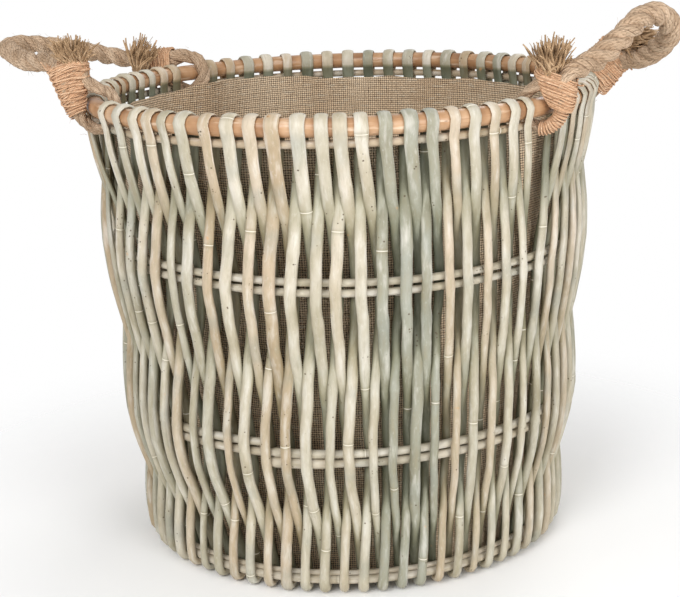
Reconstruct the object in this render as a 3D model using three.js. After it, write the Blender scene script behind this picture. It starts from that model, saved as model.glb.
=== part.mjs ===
import * as THREE from 'three';

// Round log basket: willow rods folded over a thick top hoop, three levels of hoops below, a woven
// base, a sackcloth liner and two rope handles that swing on the top hoop.
// Millimetres. The origin is the centre of the underside, +Z is up and -Y is the front.

// Driving sizes
const SEGMENTS = 64;
const FIT = 0.35;

const RIM_RADIUS = 236;
const RIM_Z = 434;
const RIM_WIRE = 8.25;

const UNDER_DROP = 14;
const UNDER_HALF = 3.5;
const UNDER_CLEAR = 14.6;

const MID_RADIUS = 226;
const MID_Z = 294.4;
const MID_HALF = 2.9;
const MID_SPACING = 4.5;
const MID_TAPER = 0.095;

const LOW_RADIUS = 215;
const LOW_Z = 135.5;
const LOW_HALF = 3.3;
const LOW_SPACING = 4.7;
const LOW_TAPER = 0.09;

const FOOT_RADIUS = 201;
const FOOT_WIRE = 4;
const FOOT_THIN_WIRE = 2.25;

const ROD_RADIUS = 4.2;
const ROD_FLAT = ROD_RADIUS * Math.cos(Math.PI / 5);
const FOLD_HALF_THICK = 3.0;
const FOLD_HALF_WIDE = 5.4;
const FOLD_RADIUS = RIM_WIRE + 1.0 + FOLD_HALF_THICK * Math.cos(Math.PI / 5);
const SLOPE_ALLOWANCE = 1.5;
const BASE_PITCH = 360 / SEGMENTS;
const FIRST_BASE_AZIMUTH = -21.75;
const GATHER = 7.4;
const GATHER_TO = 283;

const LINER_THICK = 2;
const LINER_TOP_Z = 417;
const LINER_FIT = 0.4;
const LINER_BULGE = 10;
const LINER_DIP = 5;
const BASE_THICK = 12;

const ROPE_RADIUS = 9.5;
const ROPE_PRESSED = 7.6;
const ROPE_SIDES = 7;
const ROPE_SPACING = 19.6;
const EYE_FIT = 0.6;
const TUFT_RADIUS = 13;

const TWINE_RADIUS = 1.8;
const TWINE_GAP = 0.5;
const TWINE_PITCH = 4.4;

const WILLOW = { color: 0xc8bea5, roughness: 0.75, metalness: 0 };
const HOOP_TAN = { color: 0xc99a72, roughness: 0.6, metalness: 0 };
const SACKCLOTH = { color: 0x9c8468, roughness: 0.95, metalness: 0 };
const ROPE = { color: 0xb49673, roughness: 0.95, metalness: 0 };
const TWINE = { color: 0xc8966e, roughness: 0.9, metalness: 0 };

const model = new THREE.Group();
const rad = (degrees) => (degrees * Math.PI) / 180;

// Offsets of the rods from each hoop's centre line, worked out from the hoops they touch
const UNDER_OFFSET = UNDER_HALF + FIT + ROD_FLAT + 0.35;
const MID_OFFSET = MID_HALF + FIT + ROD_RADIUS + SLOPE_ALLOWANCE;
const LOW_OFFSET = LOW_HALF + FIT + ROD_FLAT + SLOPE_ALLOWANCE;
const FOOT_OFFSET = FOOT_WIRE + FIT + ROD_RADIUS + 0.6;
const FOOT_Z = FOOT_OFFSET + ROD_FLAT + 0.2;
const FOOT_THIN_Z = FOOT_Z + FOOT_WIRE + FIT + FOOT_THIN_WIRE;

function addPart(name, geometry, look) {
  const mesh = new THREE.Mesh(geometry, new THREE.MeshStandardMaterial(look));
  mesh.name = name;
  model.add(mesh);
  return mesh;
}

// A closed body from points and faces, turned to face outwards
function solid(points, faces) {
  let volume = 0;
  for (const [a, b, c] of faces) {
    volume += points[a].dot(points[b].clone().cross(points[c]));
  }
  const index = [];
  for (const [a, b, c] of faces) {
    if (volume > 0) index.push(a, b, c);
    else index.push(a, c, b);
  }
  const flat = new Float32Array(points.length * 3);
  points.forEach((p, i) => p.toArray(flat, i * 3));
  const geometry = new THREE.BufferGeometry();
  geometry.setAttribute('position', new THREE.BufferAttribute(flat, 3));
  geometry.setIndex(index);
  geometry.computeVertexNormals();
  return geometry;
}

// Skin over rings of points; a closed loop joins its last ring to its first, an open one has two ends
function skin(rings, closed) {
  const sides = rings[0].length;
  const points = rings.flat();
  const faces = [];
  const spans = closed ? rings.length : rings.length - 1;
  for (let i = 0; i < spans; i += 1) {
    const here = i * sides;
    const next = ((i + 1) % rings.length) * sides;
    for (let k = 0; k < sides; k += 1) {
      const m = (k + 1) % sides;
      faces.push([here + k, next + k, next + m]);
      faces.push([here + k, next + m, here + m]);
    }
  }
  if (!closed) {
    const last = (rings.length - 1) * sides;
    for (let k = 1; k < sides - 1; k += 1) {
      faces.push([0, k, k + 1]);
      faces.push([last, last + k + 1, last + k]);
    }
  }
  return solid(points, faces);
}

// One ring of a section: p is its centre, x and y its axes, hx and hy its half sizes along them
function ring(p, x, y, hx, hy, sides, phase) {
  const out = [];
  for (let k = 0; k < sides; k += 1) {
    const a = phase + (2 * Math.PI * k) / sides;
    out.push(p.clone().addScaledVector(x, hx * Math.cos(a)).addScaledVector(y, hy * Math.sin(a)));
  }
  return out;
}

function tangents(points) {
  return points.map((p, i) => {
    const a = points[Math.max(i - 1, 0)];
    const b = points[Math.min(i + 1, points.length - 1)];
    const before = p.clone().sub(a);
    const after = b.clone().sub(p);
    if (before.lengthSq() > 0) before.normalize();
    if (after.lengthSq() > 0) after.normalize();
    return before.add(after).normalize();
  });
}

// Hoops
function hoopRing(radius, z, azimuth, half, sides, phase) {
  const out = new THREE.Vector3(Math.cos(azimuth), Math.sin(azimuth), 0);
  const up = new THREE.Vector3(0, 0, 1);
  const centre = out.clone().multiplyScalar(radius);
  centre.z = z;
  return ring(centre, out, up, half, half, sides, phase);
}

function hoop(radius, z, half, sides, phase, azimuths) {
  return skin(azimuths.map((a) => hoopRing(radius, z, rad(a), half, sides, phase)), true);
}

// Below the rim the rods stand a little closer together round the azimuth GATHER_TO
function baseAzimuth(index) {
  const even = FIRST_BASE_AZIMUTH + BASE_PITCH * index;
  return even - GATHER * Math.sin(rad(even - GATHER_TO));
}

const levelAzimuths = (first) =>
  Array.from({ length: SEGMENTS }, (_, i) => baseAzimuth(first + i));

// Rope eyes on the top hoop, two for each handle; azimuths in degrees
const HANDLES = {
  left: { middle: 180, half: 33 },
  right: { middle: -7, half: 22 },
};
const EYE_AZIMUTHS = [];
for (const { middle, half } of Object.values(HANDLES)) {
  EYE_AZIMUTHS.push(middle - half, middle + half);
}

// Where the folded rods sit on the top hoop: four runs between the rope eyes
const RUNS = [
  { from: -23.0, to: 9.0, count: 8 },
  { from: 21.25, to: 140.3, count: 22 },
  { from: 152.7, to: 206.0, count: 12 },
  { from: 222.0, to: 324.0, count: 22 },
];
const TOP_AZIMUTHS = [];
for (const { from, to, count } of RUNS) {
  for (let i = 0; i < count; i += 1) {
    TOP_AZIMUTHS.push(from + ((to - from) * i) / (count - 1));
  }
}

const SQUARE = Math.PI / 4;
const rimAzimuths = TOP_AZIMUTHS.concat(EYE_AZIMUTHS.map((a) => (a + 360) % 360));
rimAzimuths.sort((a, b) => ((a + 360) % 360) - ((b + 360) % 360));
addPart('top_hoop', hoop(RIM_RADIUS, RIM_Z, RIM_WIRE, 6, 0, rimAzimuths), HOOP_TAN);

const corner = (half) => half * Math.SQRT2;
const midAzimuths = levelAzimuths(0.5);
const lowAzimuths = levelAzimuths(0);
const midHoop = (rise) => hoop(
  MID_RADIUS + rise * MID_TAPER, MID_Z + rise, corner(MID_HALF), 4, SQUARE, midAzimuths);
const lowHoop = (rise) => hoop(
  LOW_RADIUS + rise * LOW_TAPER, LOW_Z + rise, corner(LOW_HALF), 4, SQUARE, lowAzimuths);
addPart('mid_hoop_upper', midHoop(MID_SPACING), WILLOW);
addPart('mid_hoop_lower', midHoop(-MID_SPACING), WILLOW);
addPart('low_hoop_upper', lowHoop(LOW_SPACING), WILLOW);
addPart('low_hoop_lower', lowHoop(-LOW_SPACING), WILLOW);
addPart('foot_hoop_main',
  hoop(FOOT_RADIUS, FOOT_Z, FOOT_WIRE, 6, 0, midAzimuths), WILLOW);
addPart('foot_hoop_thin',
  hoop(FOOT_RADIUS, FOOT_THIN_Z, FOOT_THIN_WIRE, 4, 0, midAzimuths), WILLOW);

// The under-rim hoop, in four arcs that stop short of the rope eyes
function underArc(name, first, last) {
  const from = first.azimuth + rad(first.clear);
  const to = last.azimuth - rad(last.clear);
  const stops = TOP_AZIMUTHS.map((a) => {
    let value = rad(a);
    while (value < from) value += 2 * Math.PI;
    return value;
  }).filter((a) => a > from + 0.01 && a < to - 0.01);
  stops.sort((a, b) => a - b);
  const rings = [from, ...stops, to].map((a) =>
    hoopRing(RIM_RADIUS, RIM_Z - UNDER_DROP, a, corner(UNDER_HALF * 0.9), 4, SQUARE));
  addPart(name, skin(rings, false), WILLOW);
}

// The eye plane isn't radial, so the gap it needs along the hoop is worked out from its turn
function eyeGap(handle) {
  const half = rad(handle.half);
  const reach = RIM_RADIUS * Math.sin(half);
  const inside = Math.asin((reach + UNDER_CLEAR) / (RIM_RADIUS - UNDER_HALF)) - half;
  const outside = half - Math.asin((reach - UNDER_CLEAR) / (RIM_RADIUS + UNDER_HALF));
  return { far: (inside * 180) / Math.PI, near: (outside * 180) / Math.PI };
}
const leftGap = eyeGap(HANDLES.left);
const rightGap = eyeGap(HANDLES.right);
const eyeAt = (degrees, clear) => ({ azimuth: rad(degrees), clear });
underArc('under_rim_right', eyeAt(-29, rightGap.near), eyeAt(15, rightGap.near));
underArc('under_rim_back', eyeAt(15, rightGap.far), eyeAt(147, leftGap.far));
underArc('under_rim_left', eyeAt(147, leftGap.near), eyeAt(213, leftGap.near));
underArc('under_rim_front', eyeAt(213, leftGap.far), eyeAt(331, rightGap.far));

// Willow rods, two hairpins to a node: up on one face of the wall, over the top hoop, down the other
const fullSection = { hx: ROD_RADIUS, hy: ROD_RADIUS };
const foldSection = { hx: FOLD_HALF_THICK, hy: FOLD_HALF_WIDE };

function rodStation(radius, z, azimuth, section = fullSection) {
  return { radius, z, azimuth: rad(azimuth), ...section };
}

function legUp(top, index) {
  return [
    rodStation(FOOT_RADIUS + FOOT_OFFSET, FOOT_Z, baseAzimuth(index - 0.5)),
    rodStation(LOW_RADIUS - LOW_OFFSET, LOW_Z, baseAzimuth(index)),
    rodStation(MID_RADIUS + MID_OFFSET, MID_Z, baseAzimuth(index - 0.5)),
    rodStation(RIM_RADIUS - UNDER_OFFSET, RIM_Z - UNDER_DROP, top),
  ];
}

function legDown(top, index) {
  return [
    rodStation(RIM_RADIUS + UNDER_OFFSET, RIM_Z - UNDER_DROP, top),
    rodStation(MID_RADIUS - MID_OFFSET, MID_Z, baseAzimuth(index + 0.5)),
    rodStation(LOW_RADIUS + LOW_OFFSET, LOW_Z, baseAzimuth(index)),
  ];
}

function fold(top) {
  return [180, 135, 90, 45, 0].map((angle) => rodStation(
    RIM_RADIUS + FOLD_RADIUS * Math.cos(rad(angle)),
    RIM_Z + FOLD_RADIUS * Math.sin(rad(angle)),
    top,
    foldSection,
  ));
}

function wrapUnder(azimuth) {
  return [-135, -90, -45].map((angle) => rodStation(
    FOOT_RADIUS + FOOT_OFFSET * Math.cos(rad(angle)),
    FOOT_Z + FOOT_OFFSET * Math.sin(rad(angle)),
    azimuth,
  ));
}

const STUB_RISE = 3;
const TAIL_RISE = 13.5;

function rodPair(first) {
  const stations = [];
  for (const i of [first, first + 1]) {
    const top = TOP_AZIMUTHS[i];
    const inner = baseAzimuth(i - 0.5);
    const footIn = rodStation(FOOT_RADIUS - FOOT_OFFSET, FOOT_Z, inner);
    if (i === first) stations.push({ ...footIn, z: FOOT_Z + STUB_RISE - 1 });
    else stations.push(footIn);
    stations.push(...wrapUnder(inner), ...legUp(top, i), ...fold(top), ...legDown(top, i));
  }
  const rise = TAIL_RISE / (LOW_Z - FOOT_Z);
  const offset = -FOOT_OFFSET + (LOW_OFFSET + FOOT_OFFSET) * rise;
  stations.push(rodStation(
    FOOT_RADIUS + (LOW_RADIUS - FOOT_RADIUS) * rise + offset,
    FOOT_Z + TAIL_RISE,
    baseAzimuth(first + 1 + 0.5 * (1 - rise)),
  ));
  const points = stations.map((s) =>
    new THREE.Vector3(s.radius * Math.cos(s.azimuth), s.radius * Math.sin(s.azimuth), s.z));
  const directions = tangents(points);
  const rings = stations.map((s, i) => {
    const along = directions[i];
    const around = new THREE.Vector3(-Math.sin(s.azimuth), Math.cos(s.azimuth), 0);
    around.addScaledVector(along, -around.dot(along)).normalize();
    const hoopward = around.clone().cross(along).normalize();
    return ring(points[i], hoopward, around, s.hx, s.hy, 5, Math.PI);
  });
  return skin(rings, false);
}

for (let pair = 0; pair < SEGMENTS / 2; pair += 1) {
  const name = `willow_pair_${String(pair + 1).padStart(2, '0')}`;
  addPart(name, rodPair(2 * pair), WILLOW);
}

// Liner: a cup of thin cloth with its lip pressed inwards beside each rope eye
const LINER_LEVELS = [
  { z: BASE_THICK + 0.3, radius: FOOT_RADIUS - FOOT_OFFSET - ROD_RADIUS - LINER_FIT },
  { z: LOW_Z, radius: LOW_RADIUS - LOW_OFFSET - ROD_RADIUS - LINER_FIT },
  { z: MID_Z, radius: MID_RADIUS - MID_OFFSET - ROD_FLAT - LINER_FIT },
  { z: 385, radius: 0 },
  { z: LINER_TOP_Z, radius: RIM_RADIUS - UNDER_OFFSET - ROD_RADIUS - LINER_FIT },
];
{
  const below = LINER_LEVELS[2];
  const above = LINER_LEVELS[4];
  const level = LINER_LEVELS[3];
  const share = (level.z - below.z) / (above.z - below.z);
  level.radius = below.radius + (above.radius - below.radius) * share;
}

function eyeSwell(azimuth) {
  let most = 0;
  for (const { middle, half } of Object.values(HANDLES)) {
    for (const side of [-1, 1]) {
      const centre = middle + side * (half + 2);
      const apart = ((azimuth - centre + 540) % 360) - 180;
      most = Math.max(most, Math.exp(-((apart / 8) ** 2)));
    }
  }
  return most;
}

function linerRing(level, inset, lift) {
  return lowAzimuths.map((azimuth) => {
    const ramp = Math.min(1, Math.max(0, (level.z - 350) / (LINER_TOP_Z - 350)));
    const swell = eyeSwell(azimuth) * ramp;
    const radius = level.radius - inset - LINER_BULGE * swell;
    const dip = level.z === LINER_TOP_Z ? LINER_DIP * swell : 0;
    return new THREE.Vector3(
      radius * Math.cos(rad(azimuth)), radius * Math.sin(rad(azimuth)), level.z - dip + lift);
  });
}

const linerRings = [
  ...LINER_LEVELS.map((level) => linerRing(level, 0, 0)),
  ...LINER_LEVELS.slice(1).reverse().map((level) => linerRing(level, LINER_THICK, 0)),
  linerRing(LINER_LEVELS[0], LINER_THICK, LINER_THICK),
];
addPart('liner', skin(linerRings, false), SACKCLOTH);

// Base
const baseRadius = LINER_LEVELS[0].radius;
const baseRing = (z) => lowAzimuths.map((a) =>
  new THREE.Vector3(baseRadius * Math.cos(rad(a)), baseRadius * Math.sin(rad(a)), z));
addPart('woven_base', skin([baseRing(0), baseRing(BASE_THICK)], false), WILLOW);

// Rope handles. Each eye is drawn flat in the plane square to the handle's axis, in its own frame:
// s runs out along the two strands, off runs across them and lat out of the plane.
const EYES = {
  left_rear: {
    handle: HANDLES.left,
    end: -1,
    turn: -6,
    side: 1,
    loose: 0,
    tail: [[68, 26, -12], [60, 11, -14], [52, 1.5, -8], [44, 0, 0]],
    legs: [14, 30, 47],
    whip: { from: 28, to: 41 },
  },
  left_front: {
    handle: HANDLES.left,
    end: 1,
    turn: 68,
    side: -1,
    loose: 4.8,
    tail: [[60, 2, 0], [50, 0, 0], [40, 0, 0]],
    legs: [14, 40.5],
    whip: { from: 1, to: 34 },
  },
  right_front: {
    handle: HANDLES.right,
    end: -1,
    turn: 72,
    side: -1,
    loose: 4.8,
    tail: [[68, 10, 0], [55, 3, 0], [42, 0, 0]],
    legs: [14, 39.5],
    whip: { from: 1, to: 34 },
  },
  right_rear: {
    handle: HANDLES.right,
    end: 1,
    turn: 50,
    side: -1,
    loose: 4.8,
    tail: [[68, -10, 0], [58, -4, 0], [48, 0, 0], [40, 0, 0]],
    legs: [14, 38],
    whip: { from: 1, to: 34 },
  },
};

// Bights, as points (out from the handle's axis, along it, up) from one eye's strand to the other's
const BIGHTS = {
  left: [
    [80.5, -110, 21.5], [98, -85, 29.5], [124, -50, 39], [142.5, -22, 43.5], [142.9, 4, 42.3],
    [125.8, 30, 40.3], [98, 60, 36], [58, 88, 37.5],
  ],
  right: [
    [43.4, -72, 39], [60, -52, 54.4], [72.7, -30, 68.7], [86.2, -4, 70.2], [93, 20, 54.5],
    [80.5, 44, 36.7], [61, 66, 24.5],
  ],
};

function eyeShape(eye) {
  const half = rad(eye.handle.half);
  const tight = (RIM_WIRE + ROPE_PRESSED + EYE_FIT) / Math.cos(half) + 6.5 * Math.tan(half) ** 2;
  const wide = tight + eye.loose;
  const near = -wide + ROPE_SPACING;
  const reachAt = (degrees) => tight + (wide - tight) * Math.max(0, (degrees - 180) / 90);
  const place = (s, off, lat) => {
    const c = Math.cos(rad(eye.turn));
    const n = Math.sin(rad(eye.turn));
    const across = -off * eye.side;
    const middle = rad(eye.handle.middle);
    const out = RIM_RADIUS * Math.cos(half) + s * c - across * n;
    const along = eye.end * RIM_RADIUS * Math.sin(half) + lat;
    return new THREE.Vector3(
      out * Math.cos(middle) - along * Math.sin(middle),
      out * Math.sin(middle) + along * Math.cos(middle),
      RIM_Z + s * n + across * c,
    );
  };
  return { tight, wide, near, reachAt, place };
}

function handlePoint(handle, out, along, up) {
  const middle = rad(handle.middle);
  const reach = RIM_RADIUS * Math.cos(rad(handle.half)) + out;
  return new THREE.Vector3(
    reach * Math.cos(middle) - along * Math.sin(middle),
    reach * Math.sin(middle) + along * Math.cos(middle),
    RIM_Z + up,
  );
}

// Stations of one eye, tail first: tail, the strand's turn in, the round of the hoop, the straight leg
function eyeStations(eye) {
  const shape = eyeShape(eye);
  const out = [];
  eye.tail.forEach(([s, off, lat], i) => {
    const flare = Math.max(0, 1 - i / (eye.tail.length - 1));
    const half = ROPE_RADIUS + (TUFT_RADIUS - ROPE_RADIUS) * flare;
    out.push({ s, off: shape.near + off, lat, hx: half, hy: half });
  });
  const start = new THREE.Vector2(34, shape.near);
  const bend = new THREE.Vector2(24, shape.near);
  const meet = new THREE.Vector2(Math.cos(rad(35)), Math.sin(rad(35))).multiplyScalar(shape.tight);
  for (const t of [0, 0.36, 0.7]) {
    const q = start.clone().multiplyScalar((1 - t) ** 2);
    q.addScaledVector(bend, 2 * t * (1 - t));
    q.addScaledVector(meet, t * t);
    const half = ROPE_RADIUS + (ROPE_PRESSED - ROPE_RADIUS) * t;
    out.push({ s: q.x, off: q.y, lat: 0, hx: half, hy: ROPE_RADIUS });
  }
  for (let k = 0; k <= 9; k += 1) {
    const degrees = 35 + (235 * k) / 9;
    const reach = shape.reachAt(degrees);
    out.push({
      s: reach * Math.cos(rad(degrees)),
      off: reach * Math.sin(rad(degrees)),
      lat: 0,
      hx: ROPE_PRESSED,
      hy: ROPE_RADIUS,
    });
  }
  for (const s of eye.legs) {
    out.push({ s, off: -shape.wide, lat: 0, hx: ROPE_RADIUS, hy: ROPE_RADIUS });
  }
  return out.map((q) => ({ p: shape.place(q.s, q.off, q.lat), hx: q.hx, hy: q.hy }));
}

function smooth(control, steps) {
  const ends = [
    control[0].clone().multiplyScalar(2).sub(control[1]),
    ...control,
    control[control.length - 1].clone().multiplyScalar(2).sub(control[control.length - 2]),
  ];
  const out = [];
  for (let i = 1; i < ends.length - 2; i += 1) {
    for (let k = 0; k < steps; k += 1) {
      const t = k / steps;
      const p = ends[i].clone().multiplyScalar(2);
      p.addScaledVector(ends[i + 1].clone().sub(ends[i - 1]), t);
      const second = ends[i - 1].clone().multiplyScalar(2);
      second.addScaledVector(ends[i], -5);
      second.addScaledVector(ends[i + 1], 4);
      second.sub(ends[i + 2]);
      p.addScaledVector(second, t * t);
      const third = ends[i].clone().multiplyScalar(3);
      third.sub(ends[i - 1]);
      third.addScaledVector(ends[i + 1], -3);
      third.add(ends[i + 2]);
      p.addScaledVector(third, t * t * t);
      out.push(p.multiplyScalar(0.5));
    }
  }
  out.push(control[control.length - 1].clone());
  return out;
}

function ropeHandle(name, handle, first, last, bight) {
  const one = eyeStations(first);
  const two = eyeStations(last).reverse();
  const bend = [
    one[one.length - 1].p,
    ...bight.map(([out, along, up]) => handlePoint(handle, out, along, up)),
    two[0].p,
  ];
  const middle = smooth([one[one.length - 2].p, ...bend, two[1].p], 3).slice(3, -3);
  const stations = [
    ...one.slice(0, -1),
    ...middle.map((p) => ({ p, hx: ROPE_RADIUS, hy: ROPE_RADIUS })),
    ...two.slice(1),
  ];
  const points = stations.map((q) => q.p);
  const directions = tangents(points);
  const axis = handlePoint(handle, 0, 1, 0).sub(handlePoint(handle, 0, 0, 0)).normalize();
  let across = axis.clone().cross(directions[0]).normalize();
  const frames = directions.map((along) => {
    across = across.clone().addScaledVector(along, -across.dot(along)).normalize();
    return across;
  });
  const lastAlong = directions[directions.length - 1];
  const wanted = axis.clone().cross(lastAlong).normalize();
  const got = frames[frames.length - 1];
  const turn = Math.atan2(got.clone().cross(wanted).dot(lastAlong), got.dot(wanted));
  const from = one.length;
  const to = stations.length - two.length;
  const rings = stations.map((q, i) => {
    const share = Math.min(1, Math.max(0, (i - from) / (to - from)));
    const x = frames[i].clone().applyAxisAngle(directions[i], turn * share);
    const y = directions[i].clone().cross(x).normalize();
    return ring(q.p, x, y, q.hx, q.hy, ROPE_SIDES, 0);
  });
  addPart(name, skin(rings, false), ROPE);
  const total = points.reduce((sum, p, i) => sum + (i ? p.distanceTo(points[i - 1]) : 0), 0);
  console.log(`${name}: ${total.toFixed(0)} mm of rope`);
  return points;
}

const leftLine = ropeHandle(
  'left_rope', HANDLES.left, EYES.left_rear, EYES.left_front, BIGHTS.left);
const rightLine = ropeHandle(
  'right_rope', HANDLES.right, EYES.right_front, EYES.right_rear, BIGHTS.right);

// Whippings: twine wound round the leg of an eye and, further out, round the leg and the tail
const SINGLE_TO = 17;
const DOUBLE_FROM = 29.5;

function leastSelfGap(points, radius) {
  const runs = [0];
  for (let i = 1; i < points.length; i += 1) {
    runs.push(runs[i - 1] + points[i].distanceTo(points[i - 1]));
  }
  let least = Infinity;
  for (let i = 0; i < points.length; i += 1) {
    for (let j = i + 1; j < points.length; j += 1) {
      if (runs[j] - runs[i] > 8 * radius) {
        least = Math.min(least, points[i].distanceTo(points[j]) - 2 * radius);
      }
    }
  }
  return least;
}

// One strand of an eye in the eye's own frame, as a list that runs outwards
function strand(shape, line, from, to) {
  const origin = shape.place(0, 0, 0);
  const axes = [[1, 0, 0], [0, 1, 0], [0, 0, 1]].map((v) => shape.place(...v).sub(origin));
  const out = [];
  for (let i = from; i <= to; i += 1) {
    const p = line[i].clone().sub(origin);
    out.push(axes.map((axis) => axis.dot(p)));
  }
  return out.sort((a, b) => a[0] - b[0]);
}

function strandAt(list, s) {
  let i = list.findIndex((q) => q[0] > s);
  if (i < 0) i = list.length - 1;
  i = Math.max(i, 1);
  const [a, b] = [list[i - 1], list[i]];
  const t = (s - a[0]) / (b[0] - a[0]);
  const off = a[1] + (b[1] - a[1]) * t;
  const lat = a[2] + (b[2] - a[2]) * t;
  return { off, lat, slope: (b[1] - a[1]) / (b[0] - a[0]), drift: (b[2] - a[2]) / (b[0] - a[0]) };
}

function whipping(name, eye, line) {
  const shape = eyeShape(eye);
  const tailCount = eye.tail.length;
  const tail = strand(shape, line, 0, tailCount + 3);
  const leg = strand(shape, line, tailCount + 12, tailCount + 12 + eye.legs.length);
  const grip = TWINE_RADIUS + TWINE_GAP;
  const local = [];
  const turnPoint = (s, angle, far) => {
    const here = strandAt(far ? tail : leg, Math.max(s, 0));
    const half = s > 10 ? ROPE_RADIUS : ROPE_PRESSED + (ROPE_RADIUS - ROPE_PRESSED) * (s / 10);
    const tilt = 1.04 * Math.hypot(1, here.slope);
    const lean = 1.06 * Math.hypot(1, here.drift);
    const spare = far ? 0.7 * Math.max(0, 33 - s) : 0;
    local.push([
      s,
      here.off + ((half + grip) * tilt + spare) * Math.cos(rad(angle)),
      here.lat + ((ROPE_RADIUS + grip) * lean + spare / 2) * Math.sin(rad(angle)),
    ]);
  };
  const around = [[180, 0], [225, 0], [270, 0], [315, 0], [360, 0], [405, 0], [450, 0], [495, 0]];
  const aroundBoth = [
    [180, 0], [225, 0], [270, 0], [270, 1], [315, 1], [360, 1], [405, 1], [450, 1], [450, 0], [495, 0],
  ];
  let s = eye.whip.from;
  let both = s + TWINE_PITCH / 2 > SINGLE_TO;
  while (s < eye.whip.to) {
    const farSide = s + TWINE_PITCH / 2;
    const step = both && farSide < DOUBLE_FROM ? DOUBLE_FROM - s : TWINE_PITCH / 2;
    for (const [angle, far] of both ? aroundBoth : around) {
      const half = angle < 360 ? ((angle - 180) / 180) * step : step + ((angle - 360) / 360) * TWINE_PITCH;
      turnPoint(s + half, angle, far);
    }
    s += step + TWINE_PITCH / 2;
    both = both || s + TWINE_PITCH / 2 > SINGLE_TO;
  }
  turnPoint(s, 180, 0);
  const points = local.map(([along, off, lat]) => shape.place(along, off, lat));
  const startDirection = points[0].clone().sub(points[1]).normalize();
  const endDirection = points[points.length - 1].clone().sub(points[points.length - 2]).normalize();
  points.unshift(points[0].clone().addScaledVector(startDirection, 2 * TWINE_RADIUS));
  points.push(points[points.length - 1].clone().addScaledVector(endDirection, 2 * TWINE_RADIUS));
  const directions = tangents(points);
  const axis = shape.place(1, 0, 0).sub(shape.place(0, 0, 0)).normalize();
  const rings = points.map((p, i) => {
    const x = axis.clone().addScaledVector(directions[i], -axis.dot(directions[i])).normalize();
    const y = directions[i].clone().cross(x).normalize();
    return ring(p, x, y, TWINE_RADIUS, TWINE_RADIUS, 4, SQUARE);
  });
  addPart(name, skin(rings, false), TWINE);
  console.log(`${name}: least gap to itself ${leastSelfGap(points, TWINE_RADIUS).toFixed(2)} mm`);
}

whipping('left_rear_whipping', EYES.left_rear, leftLine);
whipping('left_front_whipping', EYES.left_front, [...leftLine].reverse());
whipping('right_front_whipping', EYES.right_front, rightLine);
whipping('right_rear_whipping', EYES.right_rear, [...rightLine].reverse());

export default model;
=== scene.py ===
import math

import bpy
import numpy as np
from mathutils import Matrix


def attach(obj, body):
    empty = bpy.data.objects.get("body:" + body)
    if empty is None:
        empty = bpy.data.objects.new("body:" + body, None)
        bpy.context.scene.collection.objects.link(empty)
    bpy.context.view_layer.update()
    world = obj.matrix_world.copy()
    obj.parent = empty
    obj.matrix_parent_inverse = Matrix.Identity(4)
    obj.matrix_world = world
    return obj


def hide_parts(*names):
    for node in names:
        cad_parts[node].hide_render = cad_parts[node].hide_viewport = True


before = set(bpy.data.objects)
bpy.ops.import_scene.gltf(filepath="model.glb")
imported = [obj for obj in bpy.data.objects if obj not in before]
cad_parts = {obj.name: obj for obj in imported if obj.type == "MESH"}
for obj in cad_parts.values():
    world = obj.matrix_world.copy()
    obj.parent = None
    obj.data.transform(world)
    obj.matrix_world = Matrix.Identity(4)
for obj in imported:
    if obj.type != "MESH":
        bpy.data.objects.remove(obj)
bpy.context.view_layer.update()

MM = 0.001

# Driving sizes of the basket in millimetres, the same as the solids have
RIM_RADIUS = 236.0
RIM_Z = 434.0
RIM_WIRE = 8.25
UNDER_DROP = 14.0
MID_RADIUS = 226.0
MID_Z = 294.4
MID_SPACING = 4.5
LOW_RADIUS = 215.0
LOW_Z = 135.5
LOW_SPACING = 4.7
LOW_JOIN = 262.5    # azimuth where the ends of each low hoop meet
FOOT_RADIUS = 201.0
FOOT_Z = 12.75
FOOT_THIN_Z = 19.35
RIGHT_FRONT_EYE = -30.8    # azimuth where that rope eye stands on the rim
SEGMENTS = 64
BASE_PITCH = 360 / SEGMENTS
FIRST_BASE_AZIMUTH = -21.75
GATHER = 7.4          # degrees that the rods move towards the front
GATHER_TO = 283.0
FOLD_RADIUS = 10.2
ROPE_RADIUS = 9.5
EYE_PRESSED = 5.2     # half the rope's thickness where it is squeezed round the hoop
ROPE_BOUND = 8.3      # and under the twine
ROPE_SPACING = 16.8
ROPE_LAY = 58.0       # length of one full twist
ROPE_STEP = 2.0       # between the points worked out along a rope
STRAND_RADIUS = 5.8
STRAND_OFF = 4.2
TWINE_RADIUS = 0.8

# How far the middle of a rod runs from the middle of each hoop that it bears on
UNDER_OFFSET = 6.7
MID_OFFSET = 7.9
LOW_OFFSET = 8.0
FOOT_OFFSET = 8.3

RUNS = [(-23.0, 9.0, 8), (21.25, 140.3, 22), (152.7, 206.0, 12)]
FRONT_RUN = [222.6, 229.6, 235.9, 240.2, 244.5, 249.3, 255.0, 260.1, 264.8, 269.3, 274.4, 279.0,
             282.6, 286.7, 291.4, 296.4, 300.8, 305.5, 310.0, 314.8, 319.8, 324.0]
TOP_AZIMUTHS = [a for start, end, count in RUNS for a in np.linspace(start, end, count)] + FRONT_RUN


def base_azimuth(index):
    """Below the rim the rods stand a little closer together towards the front."""
    even = FIRST_BASE_AZIMUTH + BASE_PITCH * index
    return even - GATHER * np.sin(np.radians(even - GATHER_TO))


def circle(degrees):
    """Cosine and sine of an angle."""
    angle = math.radians(degrees)
    return np.array([math.cos(angle), math.sin(angle)])


# Camera, where the photograph was taken from

def add_object(name, data):
    piece = bpy.data.objects.new(name, data)
    bpy.context.collection.objects.link(piece)
    return piece


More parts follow.
